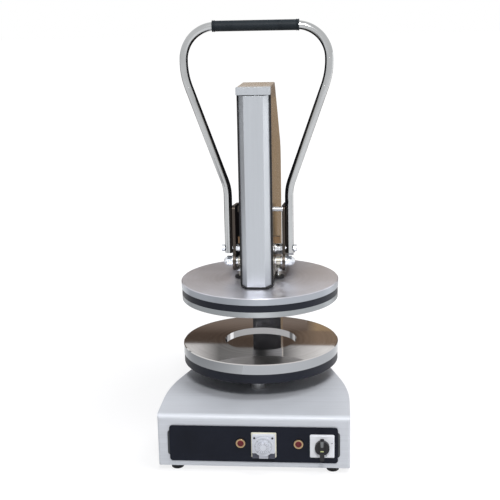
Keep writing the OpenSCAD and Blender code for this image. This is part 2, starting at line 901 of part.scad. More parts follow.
module post_stiffener() {
    half = side_x + flange_side + stiffener_margin;
    color("gray") at_press() difference() {
        translate([-half, post_front - flange_margin, deck_z - sheet_t - stiffener_t])
            cube([2 * half, post_depth + 2 * flange_margin, stiffener_t]);
        post_bolt_places()
            translate([0, 0, deck_z - sheet_t - stiffener_t - overrun])
                cylinder(h = stiffener_t + 2 * overrun, d = post_bolt_d + 2 * face_gap);
    }
}

module head_cover() {
    color([0.78, 0.80, 0.84]) at_press() translate([0, 0, head_z]) difference() {
        linear_extrude(cover_h) polygon(outline_points(cover_corners(0, -frame_front)));
        translate([0, 0, -overrun])
            linear_extrude(cover_h + 2 * overrun)
                polygon(outline_points(inset_outline(cover_corners(0, cover_wall + overrun
                    - frame_front), cover_wall)));
    }
}

module head_cap() {
    color([0.78, 0.80, 0.84]) at_press() translate([0, 0, cap_z]) difference() {
        linear_extrude(cap_h) polygon(outline_points(cap_corners(-frame_front)));
        translate([0, 0, -overrun])
            linear_extrude(cap_h - cover_wall + overrun)
                polygon(outline_points(inset_outline(cap_corners(cover_wall + overrun
                    - frame_front), cover_wall)));
    }
}

module head_gasket() {
    seal_depth = cover_depth - cover_slant;
    color([0.05, 0.05, 0.06]) at_press() translate([0, 0, gasket_z]) difference() {
        union() {
            linear_extrude(gasket_t) polygon(outline_points(cover_corners(seal_w, gasket_rear)));
            both_sides()
                translate([cover_w / 2, -frame_front - seal_depth, 0])
                    cube([seal_w, seal_depth, gasket_t + cover_h]);
        }
        translate([0, 0, -overrun])
            cylinder(h = gasket_t + 2 * overrun, d = ram_d + 2 * ram_clear);
        both_sides()
            translate([eye_x, 0, -overrun])
                cylinder(h = gasket_t + 2 * overrun, d = foot_flange_d + 2 * foot_flange_clear);
    }
}

module guide_blocks() {
    width = frame_w - 2 * frame_wall;
    front = frame_wall - frame_front;
    color("slategray") at_press() difference() {
        union() {
            translate([-width / 2, -block_depth / 2, head_z + frame_wall])
                cube([width, block_depth, bush_l]);
            translate([-width / 2, front, upper_block_z])
                cube([width, block_depth / 2 - front, bush_l]);
        }
        translate([0, 0, head_z])
            cylinder(h = collar_rise, d = bush_d + 2 * run_clear);
        translate([0, -anchor_front, anchor_z])
            bar_x(-side_x, side_x, anchor_d + 2 * run_clear);
    }
}

module guide_bushes() {
    color("peru") at_press() for (z = [head_z + frame_wall, upper_block_z])
        ring(z, z + bush_l, bush_d, ram_d + 2 * run_clear);
}

module anchor_bolt() {
    color("gainsboro") at_press() translate([0, -anchor_front, anchor_z]) {
        bar_x(-side_x, anchor_reach - anchor_tip_l, anchor_d);
        bar_x(anchor_reach - anchor_tip_l, anchor_reach, anchor_tip_d);
        hex_x(-side_x - anchor_head_h, -side_x, anchor_head_flat);
    }
}

module lever_stops() {
    color([0.06, 0.06, 0.07]) at_press() both_sides()
        translate([side_x, -stop_w / 2,
            pivot_z + arm_bolt_rise + arm_nut_flange_d / 2 + face_gap])
            cube([stop_reach, stop_w, stop_h]);
}

module fulcrum_shaft() {
    reach = lever_in + lever_t + face_gap + fulcrum_washer_t + fulcrum_nut_h + fulcrum_end;
    color("gainsboro") at_press() translate([0, fulcrum_back, pivot_z])
        bar_x(-reach, reach, fulcrum_d);
}

module fulcrum_spacers() {
    inner = side_x - frame_wall;
    bore = fulcrum_d + 2 * run_clear;
    color("gray") at_press() translate([0, fulcrum_back, pivot_z]) difference() {
        union() {
            both_sides() bar_x(side_x, lever_in - face_gap, fulcrum_spacer_d);
            bar_x(-inner, inner, fulcrum_spacer_d);
        }
        bar_x(-lever_in, lever_in, bore);
    }
}

module fulcrum_nuts() {
    seat = lever_in + lever_t + face_gap;
    nut = seat + fulcrum_washer_t;
    color("gainsboro") at_press() translate([0, fulcrum_back, pivot_z]) both_sides() difference() {
        union() {
            bar_x(seat, nut, fulcrum_washer_d);
            hex_x(nut, nut + fulcrum_nut_h, fulcrum_nut_flat);
        }
        bar_x(seat - overrun, nut + fulcrum_nut_h + overrun, fulcrum_d + 2 * run_clear);
    }
}

module guide_ram() {
    color("lightgray") at_press() {
        translate([0, 0, plate_z - socket_depth])
            cylinder(h = collar_z - plate_z + socket_depth, d = ram_d);
        translate([0, 0, collar_z])
            cylinder(h = collar_t + ram_nut_h + fulcrum_end, d = ram_spigot_d);
    }
}

module ram_collar() {
    color("gray") at_press()
        ring(collar_z, collar_z + collar_t, collar_d, ram_spigot_d + 2 * run_clear);
}

module ram_nut() {
    color("gainsboro") at_press() difference() {
        hex_z(collar_z + collar_t, collar_z + collar_t + ram_nut_h, ram_nut_flat);
        translate([0, 0, collar_z])
            cylinder(h = collar_t + ram_nut_h + overrun, d = ram_spigot_d + 2 * run_clear);
    }
}

// Rings of points along the lift spring, from its seat to the collar
spring_foot_z = upper_block_z + bush_l + face_gap + spring_wire / 2;
spring_head_z = collar_z - face_gap - spring_wire / 2;
spring_pitch = (spring_head_z - spring_foot_z) / spring_turns;
spring_ring_count = 8;
spring_sides = 6;
spring_rings = [for (i = [0:spring_turns * spring_ring_count])
    let (a = 360 * i / spring_ring_count)
    [for (j = [0:spring_sides - 1])
        let (
            t = 360 * j / spring_sides,
            r = spring_d / 2 + spring_wire / 2 * cos(t)
        )
        [r * cos(a), r * sin(a),
            spring_foot_z + spring_pitch * a / 360 + spring_wire / 2 * sin(t)]]];
// Least gap of the spring to itself, between one turn and the next on the measured points
spring_gap = min([for (j = [0:spring_sides - 1], k = [0:spring_sides - 1])
    norm(spring_rings[spring_ring_count][j] - spring_rings[0][k])]);
echo(lift_spring_least_gap = spring_gap);

module lift_spring() {
    n = spring_sides;
    last = len(spring_rings) - 1;
    color("darkgray") at_press() polyhedron(
        points = [for (ring = spring_rings) each ring],
        faces = concat(
            [for (i = [0:last - 1], j = [0:n - 1])
                each [[i * n + j, (i + 1) * n + j, i * n + (j + 1) % n],
                    [i * n + (j + 1) % n, (i + 1) * n + j, (i + 1) * n + (j + 1) % n]]],
            [for (j = [1:n - 2]) [0, j, j + 1]],
            [for (j = [1:n - 2]) [last * n, last * n + j + 1, last * n + j]]));
}

module upper_top_disc() {
    color("silver") at_press() difference() {
        bevelled_disc(top_z, plate_z, upper_d, edge_bevel, 0);
        translate([0, 0, plate_z - socket_depth])
            cylinder(h = socket_depth + overrun, d = ram_d + 2 * run_clear);
        both_sides()
            translate([eye_x, 0, plate_z - stud_depth])
                cylinder(h = stud_depth + overrun, d = stud_d + 2 * run_clear);
    }
}

module upper_band() {
    outer = upper_d - 2 * pan_inset;
    color([0.13, 0.14, 0.18]) at_press() ring(band_z, top_z, outer, outer - 2 * pan_wall);
}

module upper_insulation() {
    color("lightyellow") at_press()
        translate([0, 0, top_z - insulation_t])
            cylinder(h = insulation_t, d = upper_d - 2 * pan_inset - 2 * pan_wall - 2 * face_gap);
}

module upper_heater() {
    color("gray") at_press() translate([0, 0, band_z + heater_tube_d / 2 + face_gap])
        for (r = heater_ring_rs)
            rotate_extrude() translate([r, 0]) circle(d = heater_tube_d);
}

module upper_press_disc() {
    color("silver") at_press()
        bevelled_disc(press_z, band_z, upper_d - 2 * pan_inset, 0, edge_bevel);
}

module rod_ends() {
    color("wheat") at_press() both_sides() difference() {
        union() {
            translate([0, 0, pivot_z]) bar_x(eye_in, eye_out, eye_d);
            translate([eye_x, 0, plate_z - stud_depth])
                cylinder(h = pivot_z - plate_z + stud_depth, d = stud_d);
        }
        translate([0, 0, pivot_z])
            bar_x(eye_in - overrun, eye_out + overrun, pivot_d + 2 * run_clear);
    }
}

module rod_end_locknuts() {
    nut_z = pivot_z - eye_d / 2 - lock_drop - lock_h;
    color("gainsboro") at_press() both_sides() translate([eye_x, 0, 0]) difference() {
        rotate([0, 0, 90]) hex_z(nut_z, nut_z + lock_h, lock_flat);
        translate([0, 0, nut_z - overrun])
            cylinder(h = lock_h + 2 * overrun, d = stud_d + 2 * run_clear);
    }
}

module rod_end_feet() {
    color([0.06, 0.06, 0.07]) at_press() both_sides()
        translate([eye_x, 0, 0])
            ring(plate_z, plate_z + foot_flange_t, foot_flange_d, stud_d + 2 * run_clear);
}

// Right lever plate: a triangular cheek with the pivot eye and the curved fulcrum slot
module lever_plate() {
    cheek = [[-lever_front, 0, 0], [fulcrum_back, -lever_heel_rise, 0],
        [lever_heel_rear, lever_heel_rise, lever_corner_r],
        [lever_top_rear, lever_rise - lever_top_drop, lever_corner_r],
        [-lever_front, lever_rise, lever_corner_r]];
    slot_r = fulcrum_d / 2 + slot_clear;
    mid_x = lever_in + lever_t / 2;
    translate([0, 0, pivot_z]) difference() {
        union() {
            translate([mid_x, 0, 0]) across(outline_points(cheek), lever_t);
            translate([mid_x, 0, 0]) across(slot_outline(slot_r + slot_rim), lever_t);
            bar_x(lever_in, lever_in + lever_t, 2 * lever_eye_r);
        }
        bar_x(lever_in - overrun, lever_in + lever_t + overrun, pivot_d + 2 * run_clear);
        translate([0, 0, arm_bolt_rise])
            bar_x(lever_in - overrun, lever_in + lever_t + overrun, arm_bolt_d + 2 * run_clear);
        translate([mid_x, 0, 0]) across(slot_outline(slot_r), lever_t + 2 * overrun);
    }
}

module lever_plate_left() {
    color([0.32, 0.26, 0.20]) at_press() mirror([1, 0, 0]) lever_plate();
}

module lever_plate_right() {
    color([0.32, 0.26, 0.20]) at_press() lever_plate();
}

module pivot_bolts() {
    outer = lever_in + lever_t;
    color("gainsboro") at_press() translate([0, 0, pivot_z]) both_sides() difference() {
        union() {
            bar_x(side_x + pivot_tail, outer, pivot_d);
            bar_x(eye_out + face_gap, lever_in, pivot_collar_d);
            bar_x(outer, outer + pivot_washer_t, pivot_washer_d);
            hex_x(outer + pivot_washer_t, outer + pivot_washer_t + pivot_head_h, pivot_flat);
            dome_x(outer + pivot_washer_t + pivot_head_h, pivot_dome_d, pivot_dome_h);
        }
        difference() {
            bar_x(eye_in - face_gap - clip_t, eye_in - face_gap, clip_d);
            bar_x(side_x, eye_in, pivot_d - 2 * clip_t);
        }
    }
}

module pivot_clips() {
    color("dimgray") at_press() translate([0, 0, pivot_z]) both_sides() difference() {
        bar_x(eye_in - face_gap - clip_t + run_clear, eye_in - face_gap - run_clear, clip_d);
        bar_x(side_x, eye_in, pivot_d - 2 * clip_t + 2 * run_clear);
    }
}

// Corners of the handle's middle line [x, z, bend radius] above the pivot, from right to left
handle_path = [[arm_x, arm_start, 0], [arm_x, spread_rise, spread_bend_r],
    [wide_x, wide_rise, wide_bend_r], [wide_x, grip_rise, top_bend_r],
    [-wide_x, grip_rise, top_bend_r], [-wide_x, wide_rise, wide_bend_r],
    [-arm_x, spread_rise, spread_bend_r], [-arm_x, arm_start, 0]];

// Length of the straight that a bend takes up on each side of corner i
function bend_reach(path, i) =
    i == 0 || i == len(path) - 1 ? 0 :
    let (u = heading(path[i], path[i - 1]), v = heading(path[i], path[i + 1]))
    path[i][2] / tan(acos(u * v) / 2);

// Round rod of the handle's form: straights of diameter d that run a little into slightly thinner bends
module handle_rod(d, end_run) {
    n = len(handle_path);
    for (i = [0:n - 2]) {
        p = [handle_path[i][0], handle_path[i][1]];
        q = [handle_path[i + 1][0], handle_path[i + 1][1]];
        along = heading(p, q);
        start = bend_reach(handle_path, i) - (i == 0 ? end_run : bend_overlap);
        finish = norm(q - p) - bend_reach(handle_path, i + 1)
            + (i == n - 2 ? end_run : bend_overlap);
        translate([p[0] + along[0] * start, 0, p[1] + along[1] * start])
            rotate([0, atan2(along[0], along[1]), 0])
                cylinder(h = finish - start, d = d);
    }
    for (i = [1:n - 2])
        handle_bend(handle_path[i - 1], handle_path[i], handle_path[i + 1], d - bend_thinning);
}

// Bend of the handle round corner p in the XZ plane
module handle_bend(a, p, b, d) {
    points = corner_points(a, p, b);
    u = heading(p, a);
    v = heading(p, b);
    middle = [p[0], p[1]] + (u + v) / norm(u + v) * p[2] / sin(acos(u * v) / 2);
    first = points[0] - middle;
    last = points[len(points) - 1] - middle;
    from = first[0] * last[1] - first[1] * last[0] > 0 ? first : last;
    translate([middle[0], 0, middle[1]])
        rotate([90, 0, 0])
            rotate([0, 0, atan2(from[1], from[0])])
                rotate_extrude(angle = 180 - acos(u * v)) translate([p[2], 0]) circle(d = d);
}

module handle_tube() {
    color("lightgray") at_press() translate([0, 0, pivot_z]) difference() {
        handle_rod(tube_d, 0);
        handle_rod(tube_d - 2 * tube_wall, overrun);
        translate([0, 0, arm_bolt_rise])
            bar_x(-arm_x - tube_d, arm_x + tube_d, arm_bolt_d + 2 * run_clear);
    }
}

module handle_grip() {
    color([0.20, 0.23, 0.27]) at_press() translate([0, 0, pivot_z + grip_rise]) difference() {
        bar_x(-grip_l / 2, grip_l / 2, grip_d);
        bar_x(-grip_l / 2 - overrun, grip_l / 2 + overrun, tube_d + 2 * face_gap);
    }
}

module arm_bolts() {
    head = arm_x + tube_d / 2;
    color("gainsboro") at_press() translate([0, 0, pivot_z + arm_bolt_rise]) both_sides() {
        bar_x(side_x + arm_nut_gap, head, arm_bolt_d);
        bar_x(head, head + arm_head_h, arm_head_d);
    }
}

module arm_nuts() {
    inner = side_x + arm_nut_gap;
    color("gainsboro") at_press() translate([0, 0, pivot_z + arm_bolt_rise]) both_sides() difference() {
        union() {
            bar_x(inner, inner + arm_nut_flange_t, arm_nut_flange_d);
            hex_x(inner + arm_nut_flange_t, lever_in, arm_nut_flat);
        }
        bar_x(inner - overrun, lever_in + overrun, arm_bolt_d + 2 * run_clear);
    }
}

base_cover();
base_floor();
rubber_feet();
panel_backing();
control_panel();
thermostat_plate();
thermostat_face();
thermostat_screws();
thermostat_dial();
thermostat_body();
lamp_bezels();
lamp_lenses();
lamp_bodies();
switch_plate();
switch_knob();
switch_body();
cable_gland();
terminal_block();
lower_standoffs();
lower_pan();
lower_insulation();
lower_heater();
lower_platen();
column_frame();
post_bolts();
post_stiffener();
head_cover();
head_cap();
head_gasket();
guide_blocks();
guide_bushes();
anchor_bolt();
lever_stops();
fulcrum_shaft();
fulcrum_spacers();
fulcrum_nuts();
guide_ram();
ram_collar();
ram_nut();
lift_spring();
upper_top_disc();
upper_band();
upper_insulation();
upper_heater();
upper_press_disc();
rod_ends();
rod_end_locknuts();
rod_end_feet();
lever_plate_left();
lever_plate_right();
pivot_bolts();
pivot_clips();
handle_tube();
handle_grip();
arm_bolts();
arm_nuts();
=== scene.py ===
import json
import math

import bmesh
import bpy
from mathutils import Matrix, Vector


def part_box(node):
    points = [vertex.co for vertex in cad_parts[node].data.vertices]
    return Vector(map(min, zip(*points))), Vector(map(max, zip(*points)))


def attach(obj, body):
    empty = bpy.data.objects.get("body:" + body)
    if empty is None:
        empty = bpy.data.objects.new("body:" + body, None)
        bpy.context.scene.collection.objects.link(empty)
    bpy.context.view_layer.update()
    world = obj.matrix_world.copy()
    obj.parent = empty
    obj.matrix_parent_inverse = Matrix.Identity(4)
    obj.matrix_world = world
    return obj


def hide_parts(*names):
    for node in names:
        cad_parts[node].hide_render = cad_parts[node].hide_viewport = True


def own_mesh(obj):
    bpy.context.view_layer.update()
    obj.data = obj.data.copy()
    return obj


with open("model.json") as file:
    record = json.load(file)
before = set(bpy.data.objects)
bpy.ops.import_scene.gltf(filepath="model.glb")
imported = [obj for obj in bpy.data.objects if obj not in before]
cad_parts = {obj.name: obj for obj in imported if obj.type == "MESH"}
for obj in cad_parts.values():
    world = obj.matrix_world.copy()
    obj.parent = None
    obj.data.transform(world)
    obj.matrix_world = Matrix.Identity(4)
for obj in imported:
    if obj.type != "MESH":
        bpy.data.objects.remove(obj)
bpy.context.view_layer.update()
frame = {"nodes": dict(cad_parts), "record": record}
nodes = frame["nodes"]

MM = 0.001
X, Y, Z = Vector((1, 0, 0)), Vector((0, 1, 0)), Vector((0, 0, 1))
# The plates' upright axis in the part's frame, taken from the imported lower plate
plate_near, plate_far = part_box("lower_platen")
AXIS_Y = (plate_near.y + plate_far.y) / 2


# Node helpers
def is_socket(value):
    return isinstance(value, bpy.types.NodeSocket)


class Tree:
    """A material's node tree with short calls for the nodes used here."""

    def __init__(self, mat):
        self.mat, self.nt = mat, mat.node_tree
        self.out = self.first("OUTPUT_MATERIAL")
        self.bsdf = self.first("BSDF_PRINCIPLED")

    @classmethod
    def new(cls, name):
        mat = bpy.data.materials.new(name)
        mat.use_nodes = True
        nt = mat.node_tree
        nt.nodes.clear()
        out = nt.nodes.new("ShaderNodeOutputMaterial")
        bsdf = nt.nodes.new("ShaderNodeBsdfPrincipled")
        nt.links.new(bsdf.outputs[0], out.inputs[0])
        return cls(mat)

    def first(self, kind):
        return next(n for n in self.nt.nodes if n.type == kind)

    def node(self, kind, **props):
        n = self.nt.nodes.new("ShaderNode" + kind)
        for k, v in props.items():
            setattr(n, k, v)
        return n

    def put(self, value, socket):
        if is_socket(value):
            self.nt.links.new(value, socket)
        else:
            socket.default_value = value

    def set(self, **sockets):
        for k, v in sockets.items():
            self.put(v, self.bsdf.inputs[k.replace("_", " ")])

    def coords(self, source="Object"):
        return self.node("TexCoord").outputs[source]

    def split(self, vector):
        n = self.node("SeparateXYZ")
        self.put(vector, n.inputs[0])
        return n.outputs

    def stretch(self, vector, scale):
        n = self.node("Mapping")
        self.put(vector, n.inputs["Vector"])
        n.inputs["Scale"].default_value = scale
        return n.outputs[0]

    def noise(self, vector, scale, detail=3.0, roughness=0.55, distortion=0.0):
        n = self.node("TexNoise")
        self.put(vector, n.inputs["Vector"])
        n.inputs["Scale"].default_value = scale
        n.inputs["Detail"].default_value = detail
        n.inputs["Roughness"].default_value = roughness
        n.inputs["Distortion"].default_value = distortion
        return n.outputs[0]

    def noise_1d(self, w, scale, detail):
        n = self.node("TexNoise", noise_dimensions="1D")
        self.put(w, n.inputs["W"])
        n.inputs["Scale"].default_value = scale
        n.inputs["Detail"].default_value = detail
        return n.outputs[0]

    def voronoi(self, vector, scale):
        n = self.node("TexVoronoi")
        self.put(vector, n.inputs["Vector"])
        n.inputs["Scale"].default_value = scale
        return n.outputs[0]

    def math(self, op, a, b=0.0):
        n = self.node("Math", operation=op)
        self.put(a, n.inputs[0])
        self.put(b, n.inputs[1])
        return n.outputs[0]

    def blend(self, *parts):
        """Sum of values, each times its weight."""
        terms = [self.math("MULTIPLY", value, weight) for value, weight in parts]
        total = terms.pop()
        while terms:
            total = self.math("ADD", terms.pop(), total)
        return total

    def remap(self, value, from_low, from_high, low, high):
        n = self.node("MapRange")
        for i, v in enumerate((value, from_low, from_high, low, high)):
            self.put(v, n.inputs[i])
        return n.outputs[0]

    def unit(self, value, from_low, from_high):
        return self.remap(value, from_low, from_high, 0.0, 1.0)

    def uneven(self, a, b, low, high):
        """A value between low and high that follows the sum of two noises."""
        return self.remap(self.math("ADD", a, b), 0.7, 1.3, low, high)

    def mix(self, factor, a, b):
        n = self.node("Mix", data_type="RGBA")
        self.put(factor, n.inputs[0])
        for value, socket in ((a, n.inputs[6]), (b, n.inputs[7])):
            self.put(value if is_socket(value) else (*value, 1.0), socket)
        return n.outputs[2]

    def radius(self, vector, axis_y):
        """Distance from an upright axis through x = 0 and the given y."""
        x, y, _ = self.split(vector)
        y = self.math("SUBTRACT", y, axis_y)
        squares = self.math("ADD", self.math("MULTIPLY", x, x), self.math("MULTIPLY", y, y))
        return self.math("SQRT", squares)

    def bump(self, height, strength, distance, edge):
        """Bump over edges that are rounded by edge metres in the shading."""
        n = self.node("Bump")
        n.inputs["Strength"].default_value = strength
        n.inputs["Distance"].default_value = distance
        self.put(height, n.inputs["Height"])
        if edge:
            b = self.node("Bevel", samples=4)
            b.inputs["Radius"].default_value = edge
            self.put(b.outputs[0], n.inputs["Normal"])
        self.put(n.outputs[0], self.bsdf.inputs["Normal"])


def shade(color, level):
    return [min(1.0, c * level) for c in color]


# Materials
GRAIN_STRETCH = 0.012
METAL_BUMP = 0.05 * MM
SKIN_BUMP = 0.08 * MM
LENS_BUMP = 0.3 * MM
BORE_LIGHT_FADE = 2 * MM
RADIAL_SPIN = 0.25


def sheet_metal(name, color, rough, grain, along, edge=0.8 * MM, aniso=0.5, spread=0.10, metal=1.0):
    """Brushed sheet: fine grain stretched along one axis, with slow changes of tone."""
    t = Tree.new(name)
    p = t.coords()
    scale = [grain, grain, grain]
    scale[along] = grain * GRAIN_STRETCH
    streak = t.noise(t.stretch(p, scale), 1.0, detail=4.0)
    cloud = t.noise(p, 9.0)
    tone = t.unit(t.blend((streak, 0.6), (cloud, 0.4)), 0.35, 0.65)
    t.set(Base_Color=t.mix(tone, shade(color, 1 - spread), shade(color, 1 + spread * 0.6)), Metallic=metal,
          Roughness=t.uneven(streak, cloud, rough * 0.85, rough * 1.2), Anisotropic=aniso)
    t.bump(streak, 0.12, METAL_BUMP, edge)
    return t.mat


def turned_metal(name, color, rough, rim_shade, edge=0.8 * MM, aniso=0.75, stain=None, rings=0.35, bore_light=None,
                 marks=0.10):
    """Lathe-turned plate: tool marks round the plate axis, a radial sheen and a greyer rim.

    The bore light pair gives the inner wall's radius and a brighter colour inside it, which is painted light; marks
    gives the strength of the tool marks.
    """
    t = Tree.new(name)
    p = t.coords()
    r = t.radius(p, AXIS_Y)
    fine = t.noise_1d(r, 2600.0, detail=2.0)
    wide = t.noise_1d(r, 160.0, detail=3.0)
    cloud = t.noise(p, 14.0, detail=4.0, roughness=0.6)
    tone = t.unit(t.blend((fine, 0.35), (wide, rings), (cloud, 0.65 - rings)), 0.38, 0.62)
    flat = t.mix(tone, shade(color, 0.86), shade(color, 1.06))
    if stain:
        patch = t.noise(p, 6.0, detail=5.0, roughness=0.65, distortion=0.4)
        flat = t.mix(t.remap(patch, 0.50, 0.78, 0.0, 0.35), flat, stain)
    # Painted shade: the sides take the rim colour, greyer than the top of the same steel
    side = t.mix(tone, shade(rim_shade, 0.9), rim_shade)
    # Painted light: inside the bore radius the sides take a brighter colour
    if bore_light:
        bore_r, bore_light_color = bore_light
        side = t.mix(t.remap(r, bore_r, bore_r + BORE_LIGHT_FADE, 1.0, 0.0), side, bore_light_color)
    upward = t.math("ABSOLUTE", t.split(t.coords("Normal"))[2])
    t.set(Base_Color=t.mix(t.unit(upward, 0.4, 0.7), side, flat), Metallic=1.0,
          Roughness=t.uneven(fine, cloud, rough * 0.8, rough * 1.25),
          Anisotropic=aniso, Anisotropic_Rotation=RADIAL_SPIN,
          Tangent=t.node("Tangent", direction_type="RADIAL", axis="Z").outputs[0])
    t.bump(t.blend((fine, 0.7), (wide, 0.3)), marks, METAL_BUMP, edge)
    return t.mat


def bright_metal(name, color, rough, grain=700.0, edge=0.35 * MM, spread=0.14, smudge=40.0):
    """Plated or machined small steel: mottled plating with a faint grain."""
    t = Tree.new(name)
    p = t.coords()
    grit = t.noise(p, grain)
    cloud = t.noise(p, smudge, detail=4.0, roughness=0.6)
    t.set(Base_Color=t.mix(t.unit(cloud, 0.35, 0.65), shade(color, 1 - spread), color), Metallic=1.0,
          Roughness=t.uneven(grit, cloud, rough * 0.75, rough * 1.3))
    t.bump(grit, 0.15, METAL_BUMP, edge)
    return t.mat


def coated(name, color, rough, grain=1400.0, edge=0.5 * MM, wear=None, spread=0.25, strength=0.15,
           smudge=12.0, gloss=0.5):
    """Paint, plastic or rubber: fine skin, slow changes of tone, and paler rubbed spots where wear is given."""
    t = Tree.new(name)
    p = t.coords()
    grit = t.noise(p, grain, detail=2.0)
    cloud = t.noise(p, smudge, detail=5.0, roughness=0.6)
    base = t.mix(t.unit(cloud, 0.3, 0.7), shade(color, 1 - spread), shade(color, 1 + spread * 0.5))
    if wear:
        rub = t.noise(p, 130.0, detail=6.0, roughness=0.7)
        base = t.mix(t.remap(rub, 0.60, 0.74, 0.0, 0.35), base, wear)
    t.set(Base_Color=base, Metallic=0.0, Specular_IOR_Level=gloss,
          Roughness=t.uneven(grit, cloud, rough * 0.85, min(1.0, rough * 1.2)))
    t.bump(grit, strength, SKIN_BUMP, edge)
    return t.mat


def lens_red(name):
    """Moulded lamp lens: deep red with a prismatic inner pattern."""
    t = Tree.new(name)
    p = t.coords()
    cells = t.voronoi(p, 620.0)
    tone = t.unit(t.math("ADD", cells, t.noise(p, 160.0)), 0.4, 1.1)
    t.set(Base_Color=t.mix(tone, (0.050, 0.004, 0.008), (0.125, 0.009, 0.016)),
          Roughness=0.28, Specular_IOR_Level=0.3)
    t.bump(cells, 0.35, LENS_BUMP, edge=0.6 * MM)
    return t.mat


def tinted(mat, color, axis, start, end, source="Normal"):
    """Fade a material to a colour from start to end along one axis of its normals or of its place."""
    t = Tree(mat)
    old = t.bsdf.inputs["Base Color"].links[0].from_socket
    t.set(Base_Color=t.mix(t.unit(t.split(t.coords(source))[axis], start, end), old, color))
    return mat


# Faces that look to the front, as a range of their normals' y: where painted shade and painted reflection go on the
# column and the stop blocks
PAINTED_FRONT = dict(axis=1, start=-0.6, end=-0.9)
WORN_BLACK = (0.04, 0.04, 0.04)

finish = {
    "base_sheet": sheet_metal("base_sheet", (0.605, 0.63, 0.68), 0.54, grain=380.0, along=0, edge=1.2 * MM,
                              aniso=0.35, spread=0.08, metal=0.25),
    "panel_dark": coated("panel_dark", (0.009, 0.011, 0.019), 0.38, grain=1600.0, edge=0.4 * MM,
                         wear=(0.022, 0.023, 0.031), gloss=0.12),
    "rubber_black": coated("rubber_black", (0.012, 0.012, 0.014), 0.65, grain=900.0, edge=0.8 * MM,
                           wear=WORN_BLACK, strength=0.3, gloss=0.3),
    "cream_plastic": coated("cream_plastic", (0.78, 0.76, 0.64), 0.42, grain=1500.0, spread=0.06),
    "white_plastic": coated("white_plastic", (0.66, 0.685, 0.75), 0.38, grain=1500.0, edge=0.6 * MM,
                            spread=0.05),
    "black_plastic": coated("black_plastic", (0.012, 0.012, 0.015), 0.42, grain=1300.0, edge=0.6 * MM,
                            wear=WORN_BLACK, gloss=0.35),
    "grey_plastic": coated("grey_plastic", (0.34, 0.34, 0.33), 0.5, grain=1200.0),
    "lamp_gold": bright_metal("lamp_gold", (0.46, 0.33, 0.19), 0.30),
    "lamp_red": lens_red("lamp_red"),
    "band_black": coated("band_black", (0.011, 0.013, 0.021), 0.45, grain=1100.0, edge=0.8 * MM,
                         wear=(0.035, 0.036, 0.042), smudge=16.0, gloss=0.2),
    "insulation_board": coated("insulation_board", (0.62, 0.56, 0.42), 0.9, grain=500.0, edge=0.8 * MM,
                               strength=0.5),
    "heater_steel": bright_metal("heater_steel", (0.20, 0.19, 0.18), 0.5),
    "plain_steel": bright_metal("plain_steel", (0.46, 0.46, 0.47), 0.30),
    "head_satin": sheet_metal("head_satin", (0.475, 0.50, 0.535), 0.36, grain=800.0, along=2, aniso=0.35,
                              spread=0.05, metal=0.8),
    "block_iron": bright_metal("block_iron", (0.10, 0.105, 0.11), 0.5, grain=300.0),
    "bush_bronze": bright_metal("bush_bronze", (0.42, 0.25, 0.10), 0.35),
    "spring_steel": bright_metal("spring_steel", (0.20, 0.21, 0.23), 0.35),
    "zinc": bright_metal("zinc", (0.80, 0.83, 0.87), 0.26),
    "rod_end_steel": bright_metal("rod_end_steel", (0.40, 0.385, 0.34), 0.38, grain=400.0),
    "lever_steel": sheet_metal("lever_steel", (0.085, 0.072, 0.062), 0.40, grain=700.0, along=2,
                               edge=0.6 * MM, aniso=0.3, spread=0.15),
    "tube_steel": bright_metal("tube_steel", (0.46, 0.47, 0.475), 0.16, grain=500.0, edge=0.3 * MM,
                               spread=0.10, smudge=18.0),
    "grip_slate": coated("grip_slate", (0.011, 0.016, 0.021), 0.55, grain=700.0, edge=0.8 * MM,
                         wear=(0.05, 0.06, 0.07), strength=0.35, gloss=0.2),
    # Polished upright in steel with a long grain; its warm tint is a painted reflection of the brown surroundings,
    # and its dark face towards the plates is painted shade
    "column_polish": tinted(sheet_metal("column_polish", (0.50, 0.455, 0.40), 0.22, grain=700.0, along=2,
                                        edge=1.2 * MM, aniso=0.4, spread=0.12),
                            (0.085, 0.087, 0.095), **PAINTED_FRONT),
}
# Nodes that look different from others of their slot
own_finish = {
    "upper_top_disc": turned_metal("ground_steel", (0.655, 0.655, 0.71), 0.36, rim_shade=(0.385, 0.41, 0.45),
                                   aniso=0.6, rings=0.12),
    # No rounded edge in the shading here: it leaves a white speck at the rim's seam
    # Its recess wall gets painted light, brighter than its rim
    "lower_platen": turned_metal("polished_plate", (0.62, 0.605, 0.60), 0.035, rim_shade=(0.37, 0.385, 0.405),
                                 edge=0.0, aniso=0.2, stain=(0.45, 0.42, 0.39),
                                 bore_light=(78 * MM, (0.58, 0.585, 0.60)), marks=0.02),
    "upper_press_disc": turned_metal("press_face", (0.56, 0.555, 0.56), 0.42, rim_shade=(0.355, 0.375, 0.39),
                                     stain=(0.42, 0.40, 0.38)),
    # Black blocks with brown front faces, a painted reflection like the column's, so that they stand out less before
    # the column
    "lever_stops": tinted(bright_metal("stop_block", (0.015, 0.014, 0.014), 0.45, grain=500.0),
                          (0.24, 0.155, 0.09), **PAINTED_FRONT),
    # The peg's left end is darker, painted shade, as the photograph shows no bright peg there
    "anchor_bolt": tinted(bright_metal("peg_steel", (0.50, 0.515, 0.54), 0.34, spread=0.06),
                          (0.05, 0.045, 0.04), axis=0, start=0.005, end=-0.005, source="Object"),
    # Painted shade: the backing plate's dark edges beside the panel
    "panel_backing": coated("panel_edge", (0.050, 0.056, 0.062), 0.5, grain=1200.0, edge=0.4 * MM, gloss=0.3),
    "switch_plate": coated("plate_white", (0.82, 0.84, 0.89), 0.38, grain=1500.0, edge=0.6 * MM, spread=0.05),
}
slot_of = {s["node"]: s["material_slot"] for s in frame["record"]["subparts"]}
for name, obj in nodes.items():
    for s in obj.material_slots:
        s.material = own_finish.get(name) or finish[slot_of[name]]

